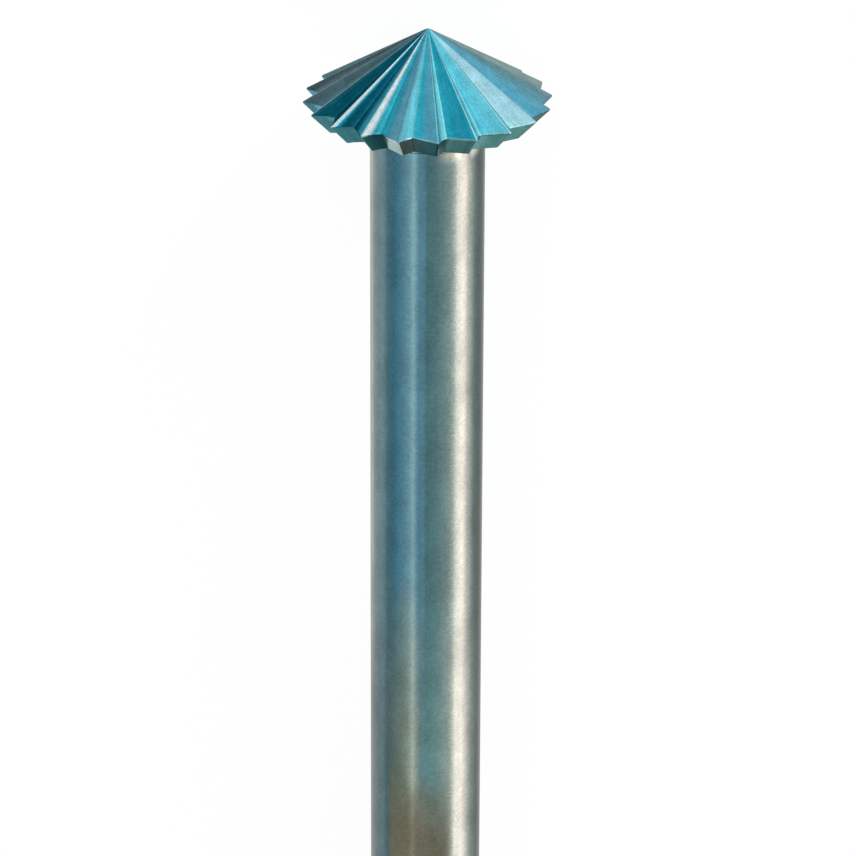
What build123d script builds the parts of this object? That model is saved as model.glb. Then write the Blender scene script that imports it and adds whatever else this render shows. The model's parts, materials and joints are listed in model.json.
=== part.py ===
"""Carbide burr: a pointed fluted head of sintered carbide, brazed on a plain steel shank.

Millimetres. Both pieces are modelled upright about one axis, with the middle of the rim
at z = 0, the point above it and the shank below. The burr is then laid down as it comes
to rest on a level table: on the tips of two neighbouring teeth and the edge of the shank's
end, point towards +X, with its origin under the middle of its box, on the table.
"""

import os
from math import atan2, cos, degrees, radians, sin, tan

from build123d import *

# Shank: the plain 2.35 mm shank that handpieces and small rotary tools take.
OVERALL_LENGTH = 44.5
SHANK_DIAMETER = 2.35
SHANK_END_CHAMFER = 0.3

# Head: a cutting cone above a narrow cylindrical rim, and a shorter back cone under it.
HEAD_DIAMETER = 5.07
POINT_ANGLE = 118.3
BACK_CONE_ANGLE = 88.9
BACK_CONE_HEIGHT = 0.409
RIM_LAND = 0.03
NOSE_RADIUS = 0.05
NOSE_EDGE_SLOPE = 15.0

# Teeth: ground as straight flutes that run together at the point. The round wheel leaves the
# rake faces slightly hollow, by a share of the flute's depth. The grinding ran out of true
# with the blank, so the flutes are deeper on one side of the head than on the other.
TEETH = 20
FLUTE_DEPTH = 0.327
FLUTE_RUNOUT = 0.114
DEEPEST_FLUTE_ANGLE = 240.0
FLUTE_RAKE_ANGLE = 33.0
RAKE_HOLLOW = 0.07
FLUTE_ROOT_RADIUS = 0.04
TOOTH_LAND = 0.03

# Neck: what is left of the carbide blank under the teeth, up to the brazed joint.
NECK_HEIGHT = 0.32
NECK_FILLET = 0.25

HEAD_RADIUS = HEAD_DIAMETER / 2
SHANK_RADIUS = SHANK_DIAMETER / 2
PITCH = 360 / TEETH
LAND_ANGLE = degrees(TOOTH_LAND / HEAD_RADIUS)
POINT_HEIGHT = RIM_LAND / 2 + HEAD_RADIUS / tan(radians(POINT_ANGLE / 2))
UNDERSIDE = -RIM_LAND / 2 - BACK_CONE_HEIGHT
JOINT = UNDERSIDE - NECK_HEIGHT


def at_angle(radius, angle, ahead=0):
    """Point by radius and angle about the axis, counter-clockwise seen from the point.

    ahead moves it square to that radius, the way the angles run.
    """
    return Vector(radius, ahead).rotate(Axis.Z, angle)


def flute_depth(edge_angle):
    """Depth of the flute in front of the cutting edge at that angle, at the rim."""
    return FLUTE_DEPTH + FLUTE_RUNOUT * cos(radians(edge_angle - DEEPEST_FLUTE_ANGLE))


def tooth_section(rim_radius):
    """Cross-section of the teeth where their cutting edges stand at rim_radius."""
    scale = rim_radius / HEAD_RADIUS
    outline = []
    for tooth in range(TEETH):
        edge_angle = PITCH * tooth
        depth = flute_depth(edge_angle) * scale
        cutting_edge = at_angle(rim_radius, edge_angle)
        root = at_angle(rim_radius - depth, edge_angle, depth * tan(radians(FLUTE_RAKE_ANGLE)))
        heel = at_angle(rim_radius, edge_angle + PITCH - LAND_ANGLE)
        next_edge = at_angle(rim_radius, edge_angle + PITCH)
        outline += [
            SagittaArc(cutting_edge, root, RAKE_HOLLOW * depth),
            Polyline(root, heel, next_edge),
        ]
    section = make_face(outline)
    deeper_than = rim_radius - (FLUTE_DEPTH - FLUTE_RUNOUT) * scale / 2
    roots = section.vertices().filter_by(lambda v: Vector(v.X, v.Y).length < deeper_than)
    return fillet(roots, FLUTE_ROOT_RADIUS * scale)


def toothed_cone(low, low_radius, high, high_radius):
    """Solid between two similar tooth sections, so every edge and root runs straight."""
    return loft(
        [Pos(0, 0, low) * tooth_section(low_radius), Pos(0, 0, high) * tooth_section(high_radius)],
        ruled=True,
    )


def turned(outline):
    """Solid of revolution of a closed outline drawn as (radius, height)."""
    return revolve(Plane.XZ * make_face(outline), Axis.Z)


def rounded_nose():
    """Everything under a shallow cone with a domed middle, which blunts the point."""
    slope = radians(NOSE_EDGE_SLOPE)
    dome_radius = NOSE_RADIUS / sin(slope)
    edge_height = POINT_HEIGHT - NOSE_RADIUS / tan(radians(POINT_ANGLE / 2))
    dome_height = edge_height + dome_radius * (1 - cos(slope))
    side_height = edge_height - (HEAD_DIAMETER - NOSE_RADIUS) * tan(slope)
    dome = RadiusArc((0, dome_height), (NOSE_RADIUS, edge_height), dome_radius)
    outline = Polyline(
        (NOSE_RADIUS, edge_height),
        (HEAD_DIAMETER, side_height),
        (HEAD_DIAMETER, UNDERSIDE - HEAD_RADIUS),
        (0, UNDERSIDE - HEAD_RADIUS),
        (0, dome_height),
    )
    return turned([dome, outline])


def neck():
    """Short round neck that flares into the underside of the teeth."""
    flare = SHANK_RADIUS + NECK_FILLET
    outline = Polyline(
        (SHANK_RADIUS, UNDERSIDE - NECK_FILLET),
        (SHANK_RADIUS, JOINT),
        (0, JOINT),
        (0, UNDERSIDE),
        (flare, UNDERSIDE),
    )
    cove = RadiusArc((flare, UNDERSIDE), (SHANK_RADIUS, UNDERSIDE - NECK_FILLET), -NECK_FILLET)
    return turned([outline, cove])


def make_head():
    """Fluted carbide head: cutting cone, rim, back cone and neck in one piece."""
    near_point = 0.01
    tip_radius = HEAD_RADIUS * near_point
    tip_height = POINT_HEIGHT - tip_radius / tan(radians(POINT_ANGLE / 2))
    back_radius = HEAD_RADIUS - BACK_CONE_HEIGHT * tan(radians(BACK_CONE_ANGLE / 2))
    cutting_cone = toothed_cone(RIM_LAND / 2, HEAD_RADIUS, tip_height, tip_radius)
    rim = extrude(Pos(0, 0, -RIM_LAND / 2) * tooth_section(HEAD_RADIUS), RIM_LAND)
    back_cone = toothed_cone(UNDERSIDE, back_radius, -RIM_LAND / 2, HEAD_RADIUS)
    return (cutting_cone & rounded_nose()) + rim + back_cone + neck()


def make_shank(end):
    """Plain round shank, from the brazed joint to its chamfered free end."""
    shank = Pos(0, 0, end) * Cylinder(
        SHANK_RADIUS, JOINT - end, align=(Align.CENTER, Align.CENTER, Align.MIN)
    )
    end_edge = shank.edges().sort_by(Axis.Z)[0]
    return chamfer(end_edge, SHANK_END_CHAMFER)


def resting_plane(end):
    """Plane that the upright burr's XY plane goes to when the burr lies on two of its teeth.

    One tooth stands on its cutting edge and the next on its heel, as far apart as the gap
    between them, which is centred over the table. The shank's end touches at its chamfer.
    """
    half_gap = radians((PITCH - LAND_ANGLE) / 2)
    tooth_reach = HEAD_RADIUS * cos(half_gap) - SHANK_RADIUS
    lift = atan2(tooth_reach, -RIM_LAND / 2 - (end + SHANK_END_CHAMFER))
    axis = Vector(cos(lift), 0, sin(lift))
    up = Vector(-sin(lift), 0, cos(lift))
    first_edge = up.rotate(Axis((0, 0, 0), axis), (PITCH + LAND_ANGLE) / 2)
    return Plane(origin=(0, 0, 0), x_dir=first_edge, z_dir=axis)


shank_end = POINT_HEIGHT - OVERALL_LENGTH
head = make_head()
shank = make_shank(shank_end)

lying = Location(resting_plane(shank_end))
pieces = {"carbide_head": lying * head, "steel_shank": lying * shank}
box = Compound(list(pieces.values())).bounding_box()
to_table = Pos(-box.center().X, -box.center().Y, -box.min.Z)

os.makedirs("parts", exist_ok=True)
for name, piece in pieces.items():
    export_step(to_table * piece, f"parts/{name}.step")
    print(name, "volume", round(piece.volume, 2), "mm3")
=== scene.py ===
# %% [markdown]
# # A carbide burr, finished in Blender
#
# A carbide burr is a small cutter for a handpiece: a fluted head of sintered carbide, brazed
# on a plain steel shank. Its construction is already settled in CAD. This lesson loads that
# model as a fixed frame, models both pieces again with the fine corners of a ground tool, and
# gives them the blue-green temper colours that brazing leaves on the metal, with painted
# highlights, reflections and shade in those colours.

import json
from collections import namedtuple
from math import cos, pi, radians, sin, sqrt, tan

import bpy
from mathutils import Matrix, Quaternion, Vector


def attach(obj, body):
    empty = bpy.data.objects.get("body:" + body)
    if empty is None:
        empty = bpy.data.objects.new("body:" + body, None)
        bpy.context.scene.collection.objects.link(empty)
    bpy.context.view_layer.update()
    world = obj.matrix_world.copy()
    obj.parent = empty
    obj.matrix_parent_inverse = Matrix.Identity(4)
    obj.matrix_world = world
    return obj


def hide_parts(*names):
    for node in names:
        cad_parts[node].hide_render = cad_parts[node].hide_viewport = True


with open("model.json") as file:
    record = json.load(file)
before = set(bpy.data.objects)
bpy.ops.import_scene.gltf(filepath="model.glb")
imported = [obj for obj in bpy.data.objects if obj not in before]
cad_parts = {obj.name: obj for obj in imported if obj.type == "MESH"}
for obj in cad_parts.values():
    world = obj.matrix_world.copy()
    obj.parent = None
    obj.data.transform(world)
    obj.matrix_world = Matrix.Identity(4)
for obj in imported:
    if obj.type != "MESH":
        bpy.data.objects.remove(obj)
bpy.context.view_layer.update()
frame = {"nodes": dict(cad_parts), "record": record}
print("CAD nodes:", sorted(frame["nodes"]))

# %% [markdown]
# ## The burr's own axes
#
# The burr lies on two of its teeth and the end of its shank, so its axis isn't level. It could
# be modelled where it lies, but every ring and angle would then be slanted. It is far easier to
# model it upright, about the Z axis, in millimetres, and to lay each finished piece down with
# one matrix. The record's shank mount gives the axis. Along it, the middle of the rim is found
# from the shank's length and the heights of the neck and the back cone.

# %% Sizes that set the burr's heights, in millimetres
TEETH = 20
PITCH = 2 * pi / TEETH
HEAD_RADIUS = 5.07 / 2
TOOTH_LAND = 0.03
LAND_ANGLE = TOOTH_LAND / HEAD_RADIUS
RIM_LAND = 0.03
BACK_CONE_HEIGHT = 0.409
NECK_HEIGHT = 0.32
UNDERSIDE = -RIM_LAND / 2 - BACK_CONE_HEIGHT
JOINT = UNDERSIDE - NECK_HEIGHT

mount = frame["record"]["mounts"][0]
SHANK_RADIUS = mount["dims"]["r_mm"]
SHANK_WALL = mount["dims"]["length_mm"]
print("shank radius", SHANK_RADIUS, "joint at", round(JOINT, 3), "under the rim")

# %% The matrix that lays the upright burr down
MILLIMETRE = 0.001


def in_mm(lengths):
    """Lengths in metres as rounded millimetres, for printing."""
    return [round(length / MILLIMETRE, 3) for length in lengths]


axis = -Vector(mount["axis"]).normalized()
up = Vector((-axis.z, 0, axis.x))
first_edge = Matrix.Rotation((PITCH + LAND_ANGLE) / 2, 3, axis) @ up
rim_centre = Vector(mount["pos_m"]) + axis * (SHANK_WALL / 2 - JOINT) * MILLIMETRE
turned_axes = Matrix((first_edge, axis.cross(first_edge), axis)).transposed()
burr_place = Matrix.Translation(rim_centre) @ turned_axes.to_4x4()
print("rim centre at", in_mm(rim_centre), "mm")

# %% [markdown]
# ## Selecting by place
#
# Operators act on whatever is selected, so every step starts by selecting nothing. Points could
# be picked by number, but the numbers change with every bevel. Picking them by a test of their
# place says what is meant, and still works when a size changes.

# %% Helpers for selecting
NEAR = 1e-3


def start_clean():
    """Object mode, with nothing selected."""
    if bpy.context.object and bpy.context.object.mode == "EDIT":
        bpy.ops.object.mode_set(mode="OBJECT")
    bpy.ops.object.select_all(action="DESELECT")


def select_points(piece, wanted):
    """Edit mode on the piece, with exactly the points selected for which wanted(place) is true."""
    bpy.ops.object.mode_set(mode="EDIT")
    bpy.ops.mesh.select_mode(type="VERT")
    bpy.ops.mesh.select_all(action="DESELECT")
    bpy.ops.object.mode_set(mode="OBJECT")
    for point in piece.data.vertices:
        point.select = wanted(point.co)
    bpy.ops.object.mode_set(mode="EDIT")


def at_height(height):
    """Test for points at one height."""
    return lambda place: abs(place.z - height) < NEAR


def at_place(*targets):
    """Test for points at any of some places."""
    return lambda place: min((place - target).length for target in targets) < NEAR


start_clean()
print("selected:", len(bpy.context.selected_objects))

# %% [markdown]
# ## The head: outline of the teeth
#
# The head is ground from a turned blank. Seen along its axis, each tooth is a saw tooth: a
# narrow land, a short rake face that the round wheel leaves slightly hollow, and a long flat
# back. Cutting twenty grooves from a cone with booleans would copy the grinding, but it leaves
# untidy faces. Here a circle with five points for each tooth is the start, and each point is
# moved to its corner. The wheel ran out of true with the blank, so the roots on one side lie
# deeper.

# %% Where a tooth's corners lie
FLUTE_DEPTH = 0.327
FLUTE_RUNOUT = 0.114
DEEPEST_FLUTE = radians(240.0)
RAKE_ANGLE = radians(33.0)
RAKE_SLOPE = tan(RAKE_ANGLE)
RAKE_HOLLOW = 0.07


def flute_depth(tooth):
    """Depth of the flute in front of a tooth's cutting edge."""
    return FLUTE_DEPTH + FLUTE_RUNOUT * cos(tooth * PITCH - DEEPEST_FLUTE)


def rake_place(tooth, share):
    """Place on a tooth's hollow rake face, from its cutting edge (0) to its root (1)."""
    depth = flute_depth(tooth)
    hollow = 4 * share * (1 - share) * RAKE_HOLLOW * depth
    outwards = HEAD_RADIUS - depth * share - hollow * sin(RAKE_ANGLE)
    ahead = depth * share * RAKE_SLOPE - hollow * cos(RAKE_ANGLE)
    return Matrix.Rotation(tooth * PITCH, 3, "Z") @ Vector((outwards, ahead, 0))


def rim_place(turn):
    """Place on the rim's circle at a turn about the axis, in teeth."""
    return Matrix.Rotation(turn * PITCH, 3, "Z") @ Vector((HEAD_RADIUS, 0, 0))


deepest = max(flute_depth(tooth) for tooth in range(TEETH))
print("flutes up to", round(deepest, 3), "mm deep")

# %% A circle becomes the outline of twenty teeth
CORNERS = ("edge", "upper rake", "lower rake", "root", "heel")

start_clean()
bpy.ops.mesh.primitive_circle_add(vertices=TEETH * len(CORNERS), radius=HEAD_RADIUS)
head = bpy.context.object
head.name = "burr_head"

for tooth in range(TEETH):
    corner_places = {
        "upper rake": rake_place(tooth, 1 / 3),
        "lower rake": rake_place(tooth, 2 / 3),
        "root": rake_place(tooth, 1),
        "heel": rim_place(tooth + 1 - LAND_ANGLE / PITCH),
    }
    for corner, target in corner_places.items():
        start = rim_place(tooth + CORNERS.index(corner) / len(CORNERS))
        select_points(head, at_place(start))
        bpy.ops.transform.translate(value=target - start)
print("outline of", len(head.data.vertices), "corners for", TEETH, "teeth")

# %% [markdown]
# ## The head: softened corners
#
# No ground corner is perfectly sharp. A wheel leaves its own small radius in each root, and the
# cutting edges are honed by a few micrometres. Both are made now, while the head is still a
# flat outline, because a bevel of single points is quick and always clean there.

# %% Roots get their radius and edges their honing
ROOT_SET_BACK = 0.022
EDGE_ROUNDING = 0.006
roots = [rake_place(tooth, 1) for tooth in range(TEETH)]
select_points(head, at_place(*roots))
bpy.ops.mesh.bevel(offset=ROOT_SET_BACK, segments=5, affect="VERTICES")
select_points(head, lambda place: place.length > HEAD_RADIUS - NEAR)
bpy.ops.mesh.bevel(offset=EDGE_ROUNDING, segments=3, affect="VERTICES")
bpy.ops.object.mode_set(mode="OBJECT")
print("softened outline of", len(head.data.vertices), "points")

# %% [markdown]
# ## The head: cutting cone
#
# Every edge and root runs straight to the point, so the cone is the same outline over and over,
# only smaller. Lofting the outline to the point in one step would do, but its long thin faces
# shade badly. Extruding the ring of points upwards in steps, and scaling it about the axis
# each time, draws even faces. The rim's corner is broken by a hair, and the point ends in a
# little dome, whose last ring is extruded in place and merged into one point.


# %% Growing a wall from a ring of points
def extrude_ring(radius_factor, rise):
    """The selected ring grows a wall: a new ring, scaled about the axis and moved up or down."""
    bpy.ops.mesh.extrude_region_move(TRANSFORM_OT_translate={"value": (0, 0, rise)})
    bpy.ops.transform.resize(value=(radius_factor, radius_factor, 1), center_override=(0, 0, 0))


def grow_rings(start, rings):
    """From a selected ring at start, (radius, height), extrudes on through each further ring."""
    radius, height = start
    for next_radius, next_height in rings:
        extrude_ring(next_radius / radius, next_height - height)
        radius, height = next_radius, next_height
    print("grew", len(rings), "rings to height", round(height, 3))


# %% The outline grows up to the point
POINT_ANGLE = radians(118.3)
POINT_SLOPE = tan(POINT_ANGLE / 2)
POINT_HEIGHT = RIM_LAND / 2 + HEAD_RADIUS / POINT_SLOPE
NOSE_RADIUS = 0.05
NOSE_SLOPE = radians(15.0)
DOME_RADIUS = NOSE_RADIUS / sin(NOSE_SLOPE)
CORNER_BREAK = 0.006
BREAK_ON_CONE = 0.8 * CORNER_BREAK
CONE_STEPS = (0.85, 0.7, 0.55, 0.4, 0.28, 0.18, 0.1, 0.05)
DOME_STEPS = (1, 0.7, 0.35)


def cone_ring(radius):
    """Ring of the cutting cone's edges at a radius."""
    return radius, POINT_HEIGHT - radius / POINT_SLOPE


def dome_ring(radius):
    """Ring of the little dome at a radius."""
    dome_rise = sqrt(DOME_RADIUS**2 - radius**2) - DOME_RADIUS * cos(NOSE_SLOPE)
    return radius, cone_ring(NOSE_RADIUS)[1] + dome_rise


rim = (HEAD_RADIUS, 0)
cone_rings = [(HEAD_RADIUS, RIM_LAND / 2 - CORNER_BREAK), cone_ring(HEAD_RADIUS - BREAK_ON_CONE)]
cone_rings += [cone_ring(HEAD_RADIUS * step) for step in CONE_STEPS]
cone_rings += [dome_ring(NOSE_RADIUS * step) for step in DOME_STEPS]
select_points(head, at_height(0))
grow_rings(rim, cone_rings)
bpy.ops.mesh.extrude_region_move(TRANSFORM_OT_translate={"value": (0, 0, 0)})
bpy.ops.mesh.merge(type="CENTER")
bpy.ops.object.mode_set(mode="OBJECT")
print("cutting cone of", len(head.data.polygons), "faces, point at", round(POINT_HEIGHT, 3))

# %% [markdown]
# ## The head: back cone
#
# Below the rim the head tapers back in a short cone, so that only the cutting cone touches the
# work. The flutes run on through it. It grows from the same outline, this time downwards.

# %% The outline grows down to the underside
BACK_ANGLE = radians(88.9)
BACK_RADIUS = HEAD_RADIUS - BACK_CONE_HEIGHT * tan(BACK_ANGLE / 2)
BREAK_ON_BACK = 0.7 * CORNER_BREAK
back_rings = [
    (HEAD_RADIUS, -RIM_LAND / 2 + CORNER_BREAK),
    (HEAD_RADIUS - BREAK_ON_BACK, -RIM_LAND / 2 - BREAK_ON_BACK),
    (BACK_RADIUS + BREAK_ON_BACK, UNDERSIDE + BREAK_ON_BACK),
    (BACK_RADIUS - CORNER_BREAK, UNDERSIDE),
]
select_points(head, at_height(0))
grow_rings(rim, back_rings)
bpy.ops.object.mode_set(mode="OBJECT")
print("both cones of", len(head.data.polygons), "faces")

# %% [markdown]
# ## The head: neck
#
# Under the teeth the blank runs into a short round neck of the shank's diameter, with a cove
# that keeps the corner strong. It could be a bevelled cylinder joined on, but the teeth and the
# circle have different numbers of points. A circle of its own is extruded down through a
# quarter round, and bridging its rim to the teeth makes the flat underside.

# %% A second circle makes the neck and is bridged to the teeth
NECK_POINTS = 120
NECK_COVE = 0.25
COVE_STEPS = 8
JOINT_BREAK = 0.012
cove_radius = SHANK_RADIUS + NECK_COVE
cove_turns = [pi / 2 * step / COVE_STEPS for step in range(1, COVE_STEPS + 1)]
neck_rings = [
    (cove_radius - NECK_COVE * sin(turn), UNDERSIDE - NECK_COVE * (1 - cos(turn)))
    for turn in cove_turns
]
neck_rings += [(SHANK_RADIUS, JOINT + JOINT_BREAK), (SHANK_RADIUS - JOINT_BREAK, JOINT)]

select_points(head, lambda place: False)
bpy.ops.mesh.primitive_circle_add(
    vertices=NECK_POINTS, radius=cove_radius, location=(0, 0, UNDERSIDE)
)
grow_rings((cove_radius, UNDERSIDE), neck_rings)
bpy.ops.mesh.edge_face_add()
on_underside = at_height(UNDERSIDE)
select_points(head, lambda place: on_underside(place) and place.length > SHANK_RADIUS)
bpy.ops.mesh.bridge_edge_loops()
bpy.ops.mesh.select_all(action="SELECT")
bpy.ops.mesh.normals_make_consistent(inside=False)
bpy.ops.object.mode_set(mode="OBJECT")
print("head of", len(head.data.polygons), "faces")

# %% [markdown]
# ## Shading and laying down
#
# Ground facets are flat right up to their edges, and only the tiny broken corners are round.
# Plain smooth shading would make the flat faces look swollen. Weighted normals do it right: the
# big face wins, and the narrow strip beside it carries the whole turn. The piece is then laid
# down with the burr's matrix, and the matrix is applied, so its place is in its mesh.

# %% Smooth corners, flat facets, and the burr's place
SMOOTH_UP_TO = radians(40)


def lay_down(piece, node):
    """Shades the upright piece, lays it down in metres, attaches it to the root body and hides its
    CAD node.
    """
    start_clean()
    piece.select_set(True)
    bpy.context.view_layer.objects.active = piece
    bpy.ops.object.shade_smooth_by_angle(angle=SMOOTH_UP_TO)
    weights = piece.modifiers.new("flat facets", "WEIGHTED_NORMAL")
    weights.keep_sharp = True
    weights.weight = 100
    bpy.ops.object.modifier_apply(modifier=weights.name)
    piece.matrix_world = burr_place @ Matrix.Scale(MILLIMETRE, 4) @ piece.matrix_world
    bpy.ops.object.transform_apply(location=True, rotation=True, scale=True)
    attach(piece, "root")
    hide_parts(node)
    print(piece.name, "laid down, with sides of", in_mm(piece.dimensions), "mm")


lay_down(head, "carbide_head")

# %% [markdown]
# ## The shank
#
# The shank is centreless ground rod, cut off and chamfered at its free end. A cylinder as long
# as the rod is its start. Its end rings are bevelled: the free end with the real chamfer, whose
# two corners are then rounded, and the joint with a hairline that shows where the braze is.

# %% A cylinder with a chamfered end
SHANK_POINTS = 160
END_CHAMFER = 0.3
END_ROUNDING = 0.03
shank_end = JOINT - SHANK_WALL - END_CHAMFER

start_clean()
bpy.ops.mesh.primitive_cylinder_add(
    vertices=SHANK_POINTS,
    radius=SHANK_RADIUS,
    depth=JOINT - shank_end,
    location=(0, 0, (JOINT + shank_end) / 2),
)
shank = bpy.context.object
shank.name = "burr_shank"
bpy.ops.object.transform_apply(location=True)

bevelled_rings = (
    (shank_end, END_CHAMFER, 1),
    (shank_end, END_ROUNDING, 3),
    (shank_end + END_CHAMFER, END_ROUNDING, 3),
    (JOINT, JOINT_BREAK, 2),
)
for height, width, steps in bevelled_rings:
    select_points(shank, at_height(height))
    bpy.ops.mesh.bevel(offset=width, segments=steps)
bpy.ops.object.mode_set(mode="OBJECT")
lay_down(shank, "steel_shank")
print("shank of", len(shank.data.polygons), "faces")

# %% [markdown]
# ## Nodes for the finishes
#
# Both metals are drawn with nodes. They could be built by hand in the shader editor, but a dozen
# masks need the same few nodes again and again, so each kind of node gets one short call.


# %% A material and its nodes
def share_of_turn(angle):
    """An angle in degrees from the front, -180 to 180, as a share of the whole turn."""
    return 0.5 + angle / 360


class Finish:
    """A material's node tree, with short calls for the nodes that both metals use."""

    def __init__(self, name):
        self.material = bpy.data.materials.new(name)
        self.material.use_nodes = True
        self.tree = self.material.node_tree
        self.shader = self.tree.nodes["Principled BSDF"]

    def link(self, source, target):
        """Joins an output to an input, or sets the input to a plain value."""
        if isinstance(source, (int, float, tuple)):
            target.default_value = source
        else:
            self.tree.links.new(source, target)

    def node(self, kind, **settings):
        """A new node with its settings."""
        made = self.tree.nodes.new(kind)
        for name, value in settings.items():
            setattr(made, name, value)
        return made

    def math(self, operation, first, second=0.0, third=0.0, clamp=False):
        """One Math node."""
        made = self.node("ShaderNodeMath", operation=operation, use_clamp=clamp)
        for value, socket in zip((first, second, third), made.inputs):
            self.link(value, socket)
        return made.outputs[0]

    def spread(self, value, low, high, to_low=0.0, to_high=1.0):
        """A value between low and high, spread smoothly from to_low to to_high."""
        made = self.node("ShaderNodeMapRange", interpolation_type="SMOOTHSTEP")
        for number, socket in zip((value, low, high, to_low, to_high), made.inputs):
            self.link(number, socket)
        return made.outputs[0]

    def blend(self, amount, first, second):
        """Mix of two colours."""
        made = self.node("ShaderNodeMix", data_type="RGBA")
        self.link(amount, made.inputs["Factor"])
        for value, socket in ((first, made.inputs["A"]), (second, made.inputs["B"])):
            self.link((*value, 1) if isinstance(value, tuple) else value, socket)
        return made.outputs["Result"]

    def film(self, around, stops):
        """Colour by the angle about the axis, from (degrees from the front, colour) stops."""
        made = self.node("ShaderNodeValToRGB")
        elements = made.color_ramp.elements
        elements.remove(elements[1])
        first_angle, first_colour = stops[0]
        elements[0].position = share_of_turn(first_angle)
        elements[0].color = (*first_colour, 1)
        for angle, colour in stops[1:]:
            elements.new(share_of_turn(angle)).color = (*colour, 1)
        self.link(around, made.inputs[0])
        return made.outputs["Color"]


print("the front lies at", share_of_turn(0), "of a turn")

# %% [markdown]
# ## Where a point lies on the burr
#
# A finish has to know where it is: how far round, how far out and how high. A UV map could carry
# that, but it would stretch near the point. Object coordinates have no seams. A Mapping node,
# set to undo the burr's place, turns them back into the upright axes, and a few Math nodes make
# the angle about the axis. The front is the side that lies towards the camera.
#
# One side of the burr is written as four angles from the front, in degrees. A mask for it rises
# between the first two and falls between the last two.

# %% Upright place, turn, radius and height
FRONT_TURN = radians(-5.113)


def upright_place(finish):
    """The point's place on the upright burr, in millimetres."""
    place = finish.node("ShaderNodeTexCoord").outputs["Object"]
    undo = finish.node("ShaderNodeMapping", vector_type="TEXTURE")
    undo.inputs["Location"].default_value = burr_place.to_translation()
    undo.inputs["Rotation"].default_value = burr_place.to_euler()
    undo.inputs["Scale"].default_value = (MILLIMETRE,) * 3
    finish.link(place, undo.inputs["Vector"])
    return undo.outputs["Vector"]


def turn_radius_height(finish, place):
    """Angle about the axis as a share of a turn, and radius and height in millimetres."""
    parts = finish.node("ShaderNodeSeparateXYZ")
    finish.link(place, parts.inputs[0])
    x, y, height = parts.outputs
    angle = finish.math("DIVIDE", finish.math("ARCTAN2", y, x), 2 * pi)
    turn = finish.math("FRACT", finish.math("ADD", angle, 1.0))
    squares = finish.math("ADD", finish.math("MULTIPLY", x, x), finish.math("MULTIPLY", y, y))
    return turn, finish.math("SQRT", squares), height


def from_front(finish, turn):
    """Share of a turn counted from the back of the burr, so that the front is at one half."""
    return finish.math("FRACT", finish.math("ADD", turn, 1.5 - FRONT_TURN / (2 * pi)))


def spread_round(finish, around, angles, to_low=0.0, to_high=1.0):
    """A value spread smoothly between two angles from the front, in degrees."""
    low, high = angles
    return finish.spread(around, share_of_turn(low), share_of_turn(high), to_low, to_high)


def window(finish, around, angles):
    """1 on one side of the burr, written as four angles, and 0 elsewhere."""
    opens, open_from, open_to, closes = angles
    rise = spread_round(finish, around, (opens, open_from))
    fall = spread_round(finish, around, (closes, open_to))
    return finish.math("MULTIPLY", rise, fall)


print("front at", round(FRONT_TURN / PITCH, 3), "teeth from the first edge")

# %% [markdown]
# ## Grain and grinding marks
#
# No metal surface is one even tone. Noise stretched along one direction looks like the fine
# scratches of a wheel, and noise with no direction like blotches or grain. All of them make the
# colour a little darker or lighter. The scratches are used once more, for the roughness and a
# slight bump, so that they spread the highlights as real ones do. Each noise is written as its
# scales along the three axes, its detail and its roughness.

# %% Noise, and the tones it gives a colour
NOISE_SPAN = (0.25, 0.75)


def noise(finish, place, scales, detail, roughness):
    """Noise between 0 and 1, with its own scale along each axis."""
    stretched = finish.node("ShaderNodeVectorMath", operation="MULTIPLY")
    finish.link(place, stretched.inputs[0])
    finish.link(scales, stretched.inputs[1])
    made = finish.node("ShaderNodeTexNoise")
    finish.link(stretched.outputs[0], made.inputs["Vector"])
    made.inputs["Scale"].default_value = 1.0
    made.inputs["Detail"].default_value = detail
    made.inputs["Roughness"].default_value = roughness
    return made.outputs["Fac"]


def toned(finish, colour, patterns):
    """A colour made darker and lighter by patterns of noise, each with its contrast."""
    for pattern, contrast in patterns:
        factor = finish.spread(pattern, *NOISE_SPAN, 1 - contrast, 1 + contrast)
        made = finish.node("ShaderNodeVectorMath", operation="SCALE")
        finish.link(colour, made.inputs[0])
        finish.link(factor, made.inputs["Scale"])
        colour = made.outputs[0]
    return colour


print("tones spread over noise from", NOISE_SPAN[0], "to", NOISE_SPAN[1])

# %% What both ground metals share
GRAIN = ((20.0, 20.0, 20.0), 2.0, 0.6)
MARK_SPAN = (0.2, 0.8)


def ground_metal(finish, colour, marks, tint, roughness, depth):
    """Metal whose grinding marks change its roughness and have a depth in metres."""
    finish.link(colour, finish.shader.inputs["Base Color"])
    finish.shader.inputs["Metallic"].default_value = 1.0
    finish.shader.inputs["Specular Tint"].default_value = (*tint, 1)
    dull = finish.spread(marks, *MARK_SPAN, *roughness)
    finish.link(dull, finish.shader.inputs["Roughness"])
    bump = finish.node("ShaderNodeBump")
    bump.inputs["Strength"].default_value = 1.0
    bump.inputs["Distance"].default_value = depth
    finish.link(marks, bump.inputs["Height"])
    finish.link(bump.outputs["Normal"], finish.shader.inputs["Normal"])


def put_on(piece, finish):
    """The finish becomes the piece's only material."""
    piece.data.materials.clear()
    piece.data.materials.append(finish.material)
    print(finish.material.name, "of", len(finish.tree.nodes), "nodes")


print("grain of about", 1 / GRAIN[0][0], "mm")
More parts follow.
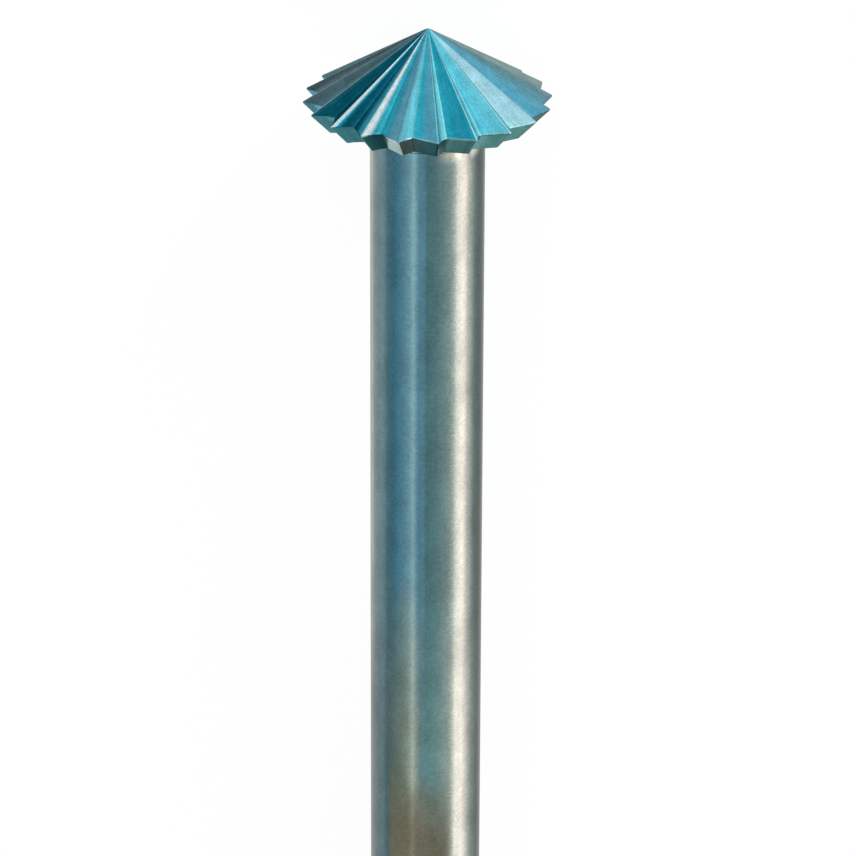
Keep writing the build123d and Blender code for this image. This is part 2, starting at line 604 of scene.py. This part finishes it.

# %% [markdown]
# ## Temper colours of the shank
#
# Brazing heats the burr in air, and a thin oxide film colours the metal: straw and brown where
# it was barely warm, then violet, blue and pale cyan where it was hottest. The film is thickest
# on the side that faced the torch, so the colour is chosen by the angle about the axis. Each
# stop is an angle in degrees from the front with the colour there. Some stops paint light
# instead of film: pale lines are painted highlights, lighter stops beside the lamp's highlight
# widen it, and dark stops beyond it are a painted dark reflection. The blue film lies on the
# left and the front, and gives way to clean steel on the right.

# %% Films and painted reflection bands round the hot end of the shank
BARE_STEEL = (0.40, 0.37, 0.335)
GREY_FILM = (0.34, 0.41, 0.34)
BLUE_FILM = (0.085, 0.29, 0.40)
# A pale line painted on the cyan film: a painted highlight.
CYAN_FILM_HIGHLIGHT_LINE = (0.34, 0.62, 0.69)
CYAN_FILM = (0.18, 0.43, 0.54)
TEAL_FILM = (0.14, 0.33, 0.35)
# Steel darkened by a painted dark reflection, right of the highlight.
DARK_REFLECTION_STEEL = (0.065, 0.095, 0.085)
HIDDEN_SIDE = (0.20, 0.29, 0.29)
HOT_END = [
    (-180, HIDDEN_SIDE),
    (-80, GREY_FILM),
    # Painted highlight: a pale line near the left edge.
    (-73, (0.41, 0.50, 0.41)),
    (-68, (0.24, 0.30, 0.285)),
    (-58, (0.16, 0.23, 0.25)),
    (-44, (0.13, 0.26, 0.30)),
    (-35, BLUE_FILM),
    (-25, (0.17, 0.43, 0.54)),
    # Painted highlight: a pale line left of the front.
    (-13, CYAN_FILM_HIGHLIGHT_LINE),
    (-8, CYAN_FILM),
    (-3, CYAN_FILM),
    (0, TEAL_FILM),
    (10, (0.19, 0.37, 0.385)),
    # Lighter stops that widen the lamp's highlight: painted highlight.
    (18, (0.29, 0.46, 0.455)),
    (26, (0.41, 0.51, 0.475)),
    (34, (0.345, 0.36, 0.32)),
    (42, (0.41, 0.385, 0.35)),
    (49, (0.30, 0.34, 0.31)),
    # Darker stops beyond the highlight: a painted dark reflection.
    (56, (0.13, 0.17, 0.16)),
    (62, (0.08, 0.12, 0.115)),
    (72, DARK_REFLECTION_STEEL),
    (82, (0.14, 0.17, 0.155)),
    (180, HIDDEN_SIDE),
]
print("hot end drawn with", len(HOT_END), "film colours")

# %% Films and painted reflection bands round the shank where they begin to fade
FADED_BACK = (0.27, 0.30, 0.27)
FADED_FILM_AND_REFLECTION = [
    (-180, FADED_BACK),
    (-76, (0.20, 0.24, 0.23)),
    (-58, (0.12, 0.18, 0.195)),
    (-46, (0.115, 0.20, 0.22)),
    (-35, (0.21, 0.31, 0.28)),
    (-26, (0.285, 0.395, 0.32)),
    # Painted highlight: a pale line left of the front.
    (-18, (0.43, 0.53, 0.44)),
    (-13, (0.56, 0.66, 0.56)),
    (-9, (0.42, 0.54, 0.49)),
    (-5, (0.26, 0.44, 0.46)),
    (3, (0.215, 0.45, 0.44)),
    (11, (0.28, 0.50, 0.48)),
    # Lighter stops that widen the lamp's highlight: painted highlight.
    (19, (0.43, 0.61, 0.57)),
    (27, (0.52, 0.58, 0.52)),
    (36, (0.36, 0.35, 0.32)),
    (46, (0.47, 0.46, 0.42)),
    # Darker stops beyond the highlight: a painted dark reflection.
    (55, (0.20, 0.25, 0.23)),
    (66, (0.10, 0.12, 0.11)),
    (80, (0.12, 0.14, 0.13)),
    (180, FADED_BACK),
]
print("faded films drawn with", len(FADED_FILM_AND_REFLECTION), "colours")

# %% [markdown]
# ## The films along the shank
#
# Away from the head the metal stayed cooler, so the films follow each other along the shank:
# blue, a faded blue, straw, brown and at last bare steel. A hard line between them would look
# painted, so a slow noise lets each border wander by up to two millimetres. Just below the
# braze, two pale strips on either side of the lamp's highlight are a painted flare, a highlight
# painted on the steel. Heights are in millimetres from the middle of the rim, so all of them
# are negative here.

# %% Where one film gives way to the next
WANDER = 4.0
WANDER_NOISE = ((0.8, 0.8, 0.35), 3.0, 0.6)
EARLY_FADE = 0.4
EARLY_SIDE = (-22, -8)


def film_reach(finish, place, around, height):
    """Height along the shank, with borders that wander and come early on the left."""
    slow = noise(finish, place, *WANDER_NOISE)
    wander = finish.math("MULTIPLY_ADD", slow, WANDER, -WANDER / 2)
    early = spread_round(finish, around, EARLY_SIDE, -EARLY_FADE, 0.0)
    return finish.math("ADD", finish.math("ADD", height, wander), early)


print("borders wander by", WANDER / 2, "mm each way")

# %% Painted highlight flare just below the braze
PAINTED_FLARE_COLOUR = (0.95, 0.90, 0.78)
PAINTED_FLARE_SIDE = (6, 24, 48, 68)
PAINTED_FLARE_GAP = (27, 38, 44, 52)
PAINTED_FLARE_HEIGHTS = (JOINT - 0.30, JOINT - 0.04)
PAINTED_FLARE_SHARE = 0.85


def with_painted_flare(finish, colour, around, height):
    """A shank colour with the two pale strips of a painted highlight flare."""
    both = window(finish, around, PAINTED_FLARE_SIDE)
    strips = finish.math("SUBTRACT", both, window(finish, around, PAINTED_FLARE_GAP))
    below_braze = finish.spread(height, *PAINTED_FLARE_HEIGHTS, 0.0, PAINTED_FLARE_SHARE)
    return finish.blend(finish.math("MULTIPLY", strips, below_braze), colour, PAINTED_FLARE_COLOUR)


print("strips end", round(JOINT - PAINTED_FLARE_HEIGHTS[0], 2), "mm below the braze")

# %% Colour of the shank and the neck
STRAW = (0.33, 0.345, 0.245)
BROWN = (0.28, 0.22, 0.13)
TINTS = [
    (STRAW, (-14.6, -16.8), 0.85),
    (BROWN, (-15.2, -17.2), 0.6),
]
TINTED_SIDE = (-44, -33, 16, 34)
FADING_HEIGHTS = (-10.0, -14.0)
BARE_HEIGHTS = (-18.5, -25.5)


def shank_colour(finish, place, around, height):
    """Films and painted reflection bands round the shank, fading along it to straw, brown and bare
    steel.
    """
    reach = film_reach(finish, place, around, height)
    hot, faded = finish.film(around, HOT_END), finish.film(around, FADED_FILM_AND_REFLECTION)
    colour = finish.blend(finish.spread(reach, *FADING_HEIGHTS), hot, faded)
    on_side = window(finish, around, TINTED_SIDE)
    for tint, heights, most in TINTS:
        tinted = finish.math("MULTIPLY", on_side, finish.spread(reach, *heights, 0.0, most))
        colour = finish.blend(tinted, colour, tint)
    colour = finish.blend(finish.spread(reach, *BARE_HEIGHTS), colour, BARE_STEEL)
    return with_painted_flare(finish, colour, around, height)


print("films end", round(JOINT - BARE_HEIGHTS[1], 1), "mm below the braze")

# %% [markdown]
# ## The shank's steel
#
# Centreless grinding leaves very fine marks round the shank, which spread its highlights. They
# could be cut into the mesh, but they are less than a micrometre deep, so the roughness and the
# bump draw them. Deeper marks would turn the highlights to glitter.

# %% Ground steel
STEEL_MOTTLE = ((2.0, 2.0, 1.2), 6.0, 0.7)
STEEL_MARKS = ((8.0, 8.0, 24.0), 3.0, 0.65)


def make_steel():
    """Ground steel with its films and painted reflection bands, its grinding marks and fine grain.
    """
    finish = Finish("ground steel")
    place = upright_place(finish)
    turn, _, height = turn_radius_height(finish, place)
    colour = shank_colour(finish, place, from_front(finish, turn), height)
    mottle = noise(finish, place, *STEEL_MOTTLE)
    marks = noise(finish, place, *STEEL_MARKS)
    grain = noise(finish, place, *GRAIN)
    colour = toned(finish, colour, ((mottle, 0.16), (marks, 0.07), (grain, 0.10)))
    tint, roughness, depth = (0.75, 0.75, 0.75), (0.25, 0.29), 0.4e-6
    ground_metal(finish, colour, marks, tint, roughness, depth)
    return finish


put_on(shank, make_steel())

# %% [markdown]
# ## Where a point lies on its tooth
#
# On the head the film follows the grinding, so its colour depends on the face: the short rake,
# the long back, or the narrow land. Twenty materials on hundreds of faces could say which is
# which. It is simpler to work it out: the turn, counted in teeth, has a whole part, which is the
# tooth, and a rest, which is the place across it.

# %% Shares across a tooth
ROOT_BLUR = 0.02
ROOT_LINE = 0.035
LAND_BLUR = 0.01
HEEL = 1 - LAND_ANGLE / PITCH
share_names = ["on_back", "across_rake", "across_back", "on_land", "at_root"]
ToothShares = namedtuple("ToothShares", share_names)


def root_phase(finish, tooth_turn):
    """Place of a tooth's root, as a share of the pitch from its cutting edge."""
    runout = finish.math("COSINE", finish.math("SUBTRACT", tooth_turn, DEEPEST_FLUTE))
    depth = finish.math("MULTIPLY_ADD", runout, FLUTE_RUNOUT, FLUTE_DEPTH)
    ahead = finish.math("MULTIPLY", depth, RAKE_SLOPE)
    outwards = finish.math("SUBTRACT", HEAD_RADIUS, depth)
    return finish.math("DIVIDE", finish.math("ARCTAN2", ahead, outwards), PITCH)


def tooth_shares(finish, turn):
    """1 on a back and 0 on a rake, the share across each, then 1 on a land and 1 at a root."""
    counted = finish.math("MULTIPLY", turn, TEETH)
    phase = finish.math("FRACT", counted)
    root = root_phase(finish, finish.math("MULTIPLY", finish.math("FLOOR", counted), PITCH))
    past_root = finish.math("SUBTRACT", phase, root)
    back_width = finish.math("SUBTRACT", HEEL, root)
    on_back = finish.spread(past_root, -ROOT_BLUR, ROOT_BLUR)
    across_rake = finish.math("DIVIDE", phase, root, clamp=True)
    across_back = finish.math("DIVIDE", past_root, back_width, clamp=True)
    on_land = finish.spread(phase, HEEL - LAND_BLUR, HEEL + LAND_BLUR)
    at_root = finish.spread(finish.math("ABSOLUTE", past_root), ROOT_LINE, 0.0)
    return ToothShares(on_back, across_rake, across_back, on_land, at_root)


print("lands take up", round(1 - HEEL, 3), "of the pitch")

# %% [markdown]
# ## Films of the cutting cone
#
# Each tooth's back starts deep teal in its root and turns greyer towards its heel. The colour
# also changes from tooth to tooth, as it does round the shank: dark on the left, teal in front,
# pale cyan on the right. This change is partly the film and partly painted: painted shade on
# the left faces, and painted reflections that make some faces on the right pale.

# %% Films, painted shade and painted reflections on the backs of the teeth
ROOT_FILM_AND_REFLECTION = [
    (-180, (0.06, 0.20, 0.26)),
    (-90, (0.10, 0.16, 0.18)),
    (-60, (0.03, 0.34, 0.46)),
    (-38, (0.02, 0.36, 0.52)),
    (-25, (0.03, 0.44, 0.64)),
    (-20.5, (0.013, 0.22, 0.305)),
    (-8, (0.04, 0.46, 0.60)),
    (-4, (0.02, 0.38, 0.52)),
    (10, (0.04, 0.54, 0.73)),
    (15, (0.015, 0.46, 0.65)),
    (32, (0.15, 0.76, 0.95)),
    (50, (0.40, 0.67, 0.75)),
    (66, (0.085, 0.36, 0.51)),
    (80, (0.12, 0.34, 0.44)),
    (94, (0.11, 0.25, 0.30)),
    (102, (0.29, 0.40, 0.40)),
    (180, (0.06, 0.20, 0.26)),
]
HEEL_FILM_AND_REFLECTION = [
    (-180, (0.10, 0.18, 0.22)),
    (-90, (0.14, 0.15, 0.17)),
    (-52, (0.16, 0.34, 0.42)),
    (-40, (0.05, 0.31, 0.42)),
    (-32, (0.06, 0.32, 0.43)),
    (-16, (0.09, 0.26, 0.35)),
    (3, (0.09, 0.34, 0.46)),
    (20, (0.018, 0.43, 0.60)),
    (38, (0.16, 0.70, 0.87)),
    (57, (0.37, 0.63, 0.71)),
    (62, (0.10, 0.40, 0.57)),
    (76, (0.11, 0.34, 0.44)),
    (92, (0.15, 0.27, 0.30)),
    (108, (0.33, 0.42, 0.41)),
    (180, (0.10, 0.18, 0.22)),
]
print("backs drawn with", len(ROOT_FILM_AND_REFLECTION), "root and", len(HEEL_FILM_AND_REFLECTION), "heel colours")

# %% [markdown]
# ## Films of the rakes and lands
#
# The rakes were ground after the backs, and they have two films: one for the edge and one for
# the rest. The pale edge colour is a painted glint. The lands, ground last, draw a fine pale
# line along every edge, partly their bare metal and partly a painted highlight.

# %% Films and painted glints on the rakes
# The rake colours also hold painted shade on the left and painted reflections on the right.
RAKE_FILM_AND_REFLECTION = [
    (-180, (0.08, 0.20, 0.24)),
    (-102, (0.075, 0.125, 0.14)),
    (-86, (0.14, 0.25, 0.285)),
    (-76, (0.10, 0.21, 0.25)),
    (-66, (0.004, 0.15, 0.215)),
    (-48, (0.002, 0.155, 0.25)),
    (-30, (0.02, 0.22, 0.28)),
    (-28, (0.03, 0.32, 0.41)),
    (-25.5, (0.07, 0.72, 0.93)),
    (-15, (0.10, 0.50, 0.62)),
    (-10, (0.11, 0.50, 0.60)),
    (6, (0.12, 0.62, 0.69)),
    (20, (0.45, 0.86, 0.93)),
    (60, (0.45, 0.84, 0.90)),
    (180, (0.08, 0.20, 0.24)),
]
EDGE_GLINT_FILM = [
    (-180, (0.10, 0.22, 0.26)),
    (-102, (0.10, 0.16, 0.18)),
    (-86, (0.16, 0.265, 0.305)),
    (-76, (0.11, 0.22, 0.26)),
    (-64, (0.006, 0.16, 0.22)),
    (-50, (0.21, 0.29, 0.30)),
    (-30, (0.235, 0.245, 0.25)),
    (-20, (0.14, 0.34, 0.42)),
    (-14, (0.12, 0.38, 0.48)),
    (-9, (0.14, 0.47, 0.56)),
    (4, (0.16, 0.50, 0.56)),
    (40, (0.70, 0.90, 0.92)),
    (180, (0.10, 0.22, 0.26)),
]
print("rakes drawn with", len(RAKE_FILM_AND_REFLECTION) + len(EDGE_GLINT_FILM), "colours")

# %% Films and painted highlights on the lands
LAND_FILM_AND_HIGHLIGHT = [
    (-180, (0.20, 0.40, 0.45)),
    (-62, (0.16, 0.40, 0.46)),
    (-50, (0.60, 0.80, 0.82)),
    (-30, (0.50, 0.74, 0.78)),
    (-14, (0.11, 0.34, 0.43)),
    (4, (0.20, 0.60, 0.70)),
    (22, (0.34, 0.76, 0.84)),
    (60, (0.30, 0.62, 0.72)),
    (78, (0.16, 0.38, 0.44)),
    (96, (0.30, 0.42, 0.42)),
    (180, (0.20, 0.40, 0.45)),
]
# Pale colour of the painted highlight lines, in the front roots and along the rim.
PAINTED_HIGHLIGHT_LINE = (0.52, 0.90, 0.94)
print("lands drawn with", len(LAND_FILM_AND_HIGHLIGHT), "colours")

# %% [markdown]
# ## The cutting cone, face by face
#
# The films are now put together with the shares across a tooth. The pale edge, a painted
# glint, is narrow on the far left, where it also widens a little towards the point, and broad
# on the rest.

# %% Colour of the rakes
GLINT_AT_RIM, GLINT_AT_POINT, GLINT_ELSEWHERE = 0.15, 0.26, 0.70
WIDENING_RADII = (2.5, 1.9)
NARROW_TO_BROAD = (-46, -36)
GLINT_START = 0.08


def rake_colour(finish, around, radius, across_rake):
    """A rake's film, with its pale edge, a painted glint."""
    narrow = finish.spread(radius, *WIDENING_RADII, GLINT_AT_RIM, GLINT_AT_POINT)
    width = spread_round(finish, around, NARROW_TO_BROAD, narrow, GLINT_ELSEWHERE)
    from_edge = finish.spread(across_rake, GLINT_START, width)
    return finish.blend(from_edge, finish.film(around, EDGE_GLINT_FILM), finish.film(around, RAKE_FILM_AND_REFLECTION))


print("bare edges from", GLINT_AT_RIM, "to", GLINT_ELSEWHERE, "of a rake")

# %% Colour of the cutting cone
ROOT_TO_HEEL = (0.15, 0.8)
# The pale line in the front roots is a painted highlight.
ROOT_LINE_SIDE = (-22, -10, 14, 20)
ROOT_LINE_SHARE = 0.5


def cutting_cone_colour(finish, around, radius, shares):
    """Film colours of the long flutes, with a pale line in the front roots, a painted highlight.
    """
    to_heel = finish.spread(shares.across_back, *ROOT_TO_HEEL)
    back = finish.blend(to_heel, finish.film(around, ROOT_FILM_AND_REFLECTION), finish.film(around, HEEL_FILM_AND_REFLECTION))
    rake = rake_colour(finish, around, radius, shares.across_rake)
    colour = finish.blend(shares.on_back, rake, back)
    line = finish.math("MULTIPLY", shares.at_root, window(finish, around, ROOT_LINE_SIDE))
    colour = finish.blend(finish.math("MULTIPLY", line, ROOT_LINE_SHARE), colour, PAINTED_HIGHLIGHT_LINE)
    return finish.blend(shares.on_land, colour, finish.film(around, LAND_FILM_AND_HIGHLIGHT))


print("backs change colour over", ROOT_TO_HEEL[1] - ROOT_TO_HEEL[0], "of their width")

# %% [markdown]
# ## The back cone
#
# The short faces under the rim were ground by the same wheel. Their colour is darker, partly
# film and partly painted shade, and each face is nearly one even colour, so two films are
# enough: one for the rakes and one for the backs. The pale backs just left of the front are a
# painted reflection.

# %% Films and colour of the back cone
LOWER_RAKES = [
    (-180, (0.06, 0.16, 0.17)),
    (-86, (0.14, 0.40, 0.47)),
    (-66, (0.12, 0.40, 0.45)),
    (-46, (0.10, 0.37, 0.41)),
    (-36, (0.03, 0.14, 0.15)),
    (-27, (0.012, 0.055, 0.06)),
    (-12, (0.06, 0.07, 0.065)),
    (6, (0.06, 0.13, 0.12)),
    (180, (0.06, 0.16, 0.17)),
]
LOWER_BACKS = [
    (-180, (0.06, 0.16, 0.17)),
    (-50, (0.06, 0.20, 0.22)),
    (-30, (0.12, 0.26, 0.26)),
    # The pale backs just left of the front are a painted reflection.
    (-22, (0.74, 0.84, 0.79)),
    (-14, (0.62, 0.74, 0.70)),
    (-7, (0.05, 0.09, 0.10)),
    (5, (0.035, 0.105, 0.12)),
    (11, (0.19, 0.42, 0.41)),
    (24, (0.19, 0.42, 0.41)),
    (34, (0.09, 0.225, 0.22)),
    (52, (0.135, 0.31, 0.29)),
    (72, (0.05, 0.09, 0.09)),
    (180, (0.06, 0.16, 0.17)),
]
LOWER_ROOT = (0.02, 0.06)


def back_cone_colour(finish, around, across_back):
    """Darker film of the short faces under the rim, with painted shade and a painted reflection.
    """
    rakes, backs = finish.film(around, LOWER_RAKES), finish.film(around, LOWER_BACKS)
    return finish.blend(finish.spread(across_back, *LOWER_ROOT), rakes, backs)


print("back cone drawn with", len(LOWER_RAKES) + len(LOWER_BACKS), "colours")

# %% [markdown]
# ## The head's carbide
#
# The head's metal joins the two cones at the rim, where a pale line along the front edge is a
# painted highlight, and takes the shank's films on its neck. The wheel's marks run along the
# flutes: their noise changes fast round the axis and slowly outwards. Blotches and a fine grain
# lie over them.

# %% Colour of the head
RIM_BLUR = 0.01
# The pale line along the rim in front is a painted highlight.
RIM_GLINT_HEIGHTS = (0.028, 0.014)
RIM_GLINT_SIDE = (-20, -8, 40, 50)
RIM_GLINT_SHARE = 0.6
NECK_BLUR = 0.002


def cone_colour(finish, around, radius, height, shares):
    """Films of both cones and a pale line along the rim in front, a painted highlight."""
    above_rim = finish.spread(height, -RIM_BLUR, RIM_BLUR)
    below = back_cone_colour(finish, around, shares.across_back)
    above = cutting_cone_colour(finish, around, radius, shares)
    colour = finish.blend(above_rim, below, above)
    corner = finish.math("MULTIPLY", above_rim, finish.spread(height, *RIM_GLINT_HEIGHTS))
    rim_glint = finish.math("MULTIPLY", corner, window(finish, around, RIM_GLINT_SIDE))
    return finish.blend(finish.math("MULTIPLY", rim_glint, RIM_GLINT_SHARE), colour, PAINTED_HIGHLIGHT_LINE)


print("worn line up to", RIM_GLINT_HEIGHTS[0], "mm above the rim's middle")

# %% Ground carbide
CARBIDE_MARKS = ((TEETH * 9.0, 0.5, 1.0), 3.0, 0.6)
BLOTCHES = ((2.6, 2.6, 2.6), 5.0, 0.7)


def make_carbide():
    """Ground carbide with its films and painted reflections, the wheel's marks, blotches and fine
    grain.
    """
    finish = Finish("ground carbide")
    place = upright_place(finish)
    turn, radius, height = turn_radius_height(finish, place)
    around = from_front(finish, turn)
    colour = cone_colour(finish, around, radius, height, tooth_shares(finish, turn))
    turn_and_radius = finish.node("ShaderNodeCombineXYZ")
    finish.link(turn, turn_and_radius.inputs[0])
    finish.link(radius, turn_and_radius.inputs[1])
    marks = noise(finish, turn_and_radius.outputs[0], *CARBIDE_MARKS)
    blotches = noise(finish, place, *BLOTCHES)
    grain = noise(finish, place, *GRAIN)
    colour = toned(finish, colour, ((marks, 0.12), (blotches, 0.16), (grain, 0.12)))
    on_neck = finish.spread(height, UNDERSIDE + NECK_BLUR, UNDERSIDE - NECK_BLUR)
    neck = shank_colour(finish, place, around, height)
    colour = finish.blend(on_neck, colour, neck)
    tint, roughness, depth = (0.45, 0.55, 0.55), (0.20, 0.28), 2e-6
    ground_metal(finish, colour, marks, tint, roughness, depth)
    return finish


put_on(head, make_carbide())

# %% [markdown]
# ## Floor
#
# The burr lies on a plain pale table. The table has to look white, yet still catch the burr's
# shadow. A stronger lamp would wash the burr out, so the floor glows a little instead, but only
# for the camera and for reflections and refractions: the Light Path node tells them apart.

# %% A pale floor that keeps the shadow
FLOOR_SIZE = 8.0
FLOOR_GREY = 0.9
FLOOR_ROUGHNESS = 0.8
FLOOR_GLOW = 1.14
GLOW_SHARE = 0.8

start_clean()
bpy.ops.mesh.primitive_plane_add(size=FLOOR_SIZE)
floor = bpy.context.object
floor.name = "floor"
table = Finish("white floor")
table.shader.inputs["Base Color"].default_value = (FLOOR_GREY, FLOOR_GREY, FLOOR_GREY, 1)
table.shader.inputs["Roughness"].default_value = FLOOR_ROUGHNESS
glow = table.node("ShaderNodeEmission")
glow.inputs["Strength"].default_value = FLOOR_GLOW
rays = table.node("ShaderNodeLightPath")
seen = table.math("MAXIMUM", rays.outputs["Is Camera Ray"], rays.outputs["Is Glossy Ray"])
seen = table.math("MAXIMUM", seen, rays.outputs["Is Transmission Ray"])
mixed = table.node("ShaderNodeMixShader")
table.link(table.math("MULTIPLY", seen, GLOW_SHARE), mixed.inputs[0])
table.link(table.shader.outputs[0], mixed.inputs[1])
table.link(glow.outputs[0], mixed.inputs[2])
table.link(mixed.outputs[0], table.tree.nodes["Material Output"].inputs["Surface"])
floor.data.materials.append(table.material)
print("floor", floor.dimensions[0], "m wide")

# %% [markdown]
# ## World
#
# A bright metal shows what it mirrors more than its own colour. An even grey world fills the
# reflections that no lamp reaches. It is clearly darker than the floor, so that the faces of the
# teeth differ from each other.

# %% An even grey world
WORLD_GREY = (0.44, 0.45, 0.46)
world = bpy.data.worlds.new("studio")
bpy.context.scene.world = world
world.use_nodes = True
background = world.node_tree.nodes["Background"]
background.inputs["Color"].default_value = (*WORLD_GREY, 1)
background.inputs["Strength"].default_value = 1.0
print("world colour", WORLD_GREY)

# %% [markdown]
# ## Lamps
#
# Round polished rod is lit with long strips, because each strip draws one clean line along it.
# Two strips lie parallel to the shank: one as wide as a window, low on the camera's right, and a
# thin one high on its left. A third, slanted panel faces the head from the right, beyond the
# point, and gives a few tooth faces their glint. Lamp power depends on size, so each lamp is set
# by its glow, where 1 is white, and its power is worked out.

# %% A helper for lamps
LAMP_DISTANCE = 0.6


def studio_lamp(name, azimuth, elevation, size, glow, colour, along=0.0, roll=0.0):
    """Lamp from a direction (azimuth 0 is -Y, 90 is +X), moved along the shank in metres."""
    turned, raised = radians(azimuth), radians(elevation)
    way = Vector((sin(turned) * cos(raised), -cos(turned) * cos(raised), sin(raised)))
    lamp = bpy.data.lights.new(name, "AREA")
    lamp.shape = "RECTANGLE"
    lamp.size, lamp.size_y = size
    lamp.energy = glow * pi * size[0] * size[1]
    lamp.color = colour
    stand = bpy.data.objects.new(name, lamp)
    bpy.context.collection.objects.link(stand)
    stand.location = rim_centre + way * LAMP_DISTANCE + Vector((along, 0, 0))
    rolled = Quaternion((0, 0, 1), radians(roll))
    stand.rotation_euler = (way.to_track_quat("Z", "Y") @ rolled).to_euler()
    stand.visible_camera = False
    print(name, "of", round(lamp.energy, 3), "W")


# %% Three lamps
WARM_WHITE, SOFT_WHITE, NEAR_WHITE = (1.0, 0.95, 0.905), (1.0, 0.99, 0.96), (1.0, 1.0, 0.98)

studio_lamp("window strip", 0, 8.5, (0.52, 0.32), 2.3, WARM_WHITE, along=-0.27)
studio_lamp("thin strip", 0, 114, (0.60, 0.02), 1.6, NEAR_WHITE, along=-0.30)
studio_lamp("head panel", 48, 19, (0.17, 0.50), 3.4, SOFT_WHITE, roll=-34)

# %% [markdown]
# ## Camera
#
# The camera looks down at the lying burr from a little beyond its point, with the burr's axis
# upright in the picture. A long lens from far away keeps the shank's sides nearly parallel. Its
# place is given from the middle of the rim, in head radii, so it would fit a larger head as well.

# %% A camera that sees the burr upright
CAMERA_PITCH = radians(24.389)
CAMERA_ROLL = radians(0.206)
CAMERA_RIGHT, CAMERA_FRONT, CAMERA_ALONG = 0.01166, 38.090, 14.378
LENS = 213.52
head_unit = HEAD_RADIUS * MILLIMETRE
front = burr_place.to_3x3() @ Vector((cos(FRONT_TURN), sin(FRONT_TURN), 0))
front.normalize()
right = axis.cross(front)
forward = -front * cos(CAMERA_PITCH) - axis * sin(CAMERA_PITCH)
above = axis * cos(CAMERA_PITCH) - front * sin(CAMERA_PITCH)
rolled_right = right * cos(CAMERA_ROLL) + above * sin(CAMERA_ROLL)
rolled_above = above * cos(CAMERA_ROLL) - right * sin(CAMERA_ROLL)

camera_data = bpy.data.cameras.new("camera")
camera_data.lens = LENS
camera_data.sensor_width = 36
camera_data.clip_start = 0.005
camera_data.clip_end = 50
camera = bpy.data.objects.new("camera", camera_data)
bpy.context.collection.objects.link(camera)
camera_place = Matrix((rolled_right, rolled_above, -forward)).transposed().to_4x4()
from_rim = right * CAMERA_RIGHT + front * CAMERA_FRONT + axis * CAMERA_ALONG
camera_place.translation = rim_centre + from_rim * head_unit
camera.matrix_world = camera_place
bpy.context.scene.camera = camera
print("camera at", in_mm(camera_place.translation), "mm")

# %% [markdown]
#
# The Standard view shows colours as they are written.

# %% View settings and the end
bpy.context.scene.view_settings.view_transform = "Standard"
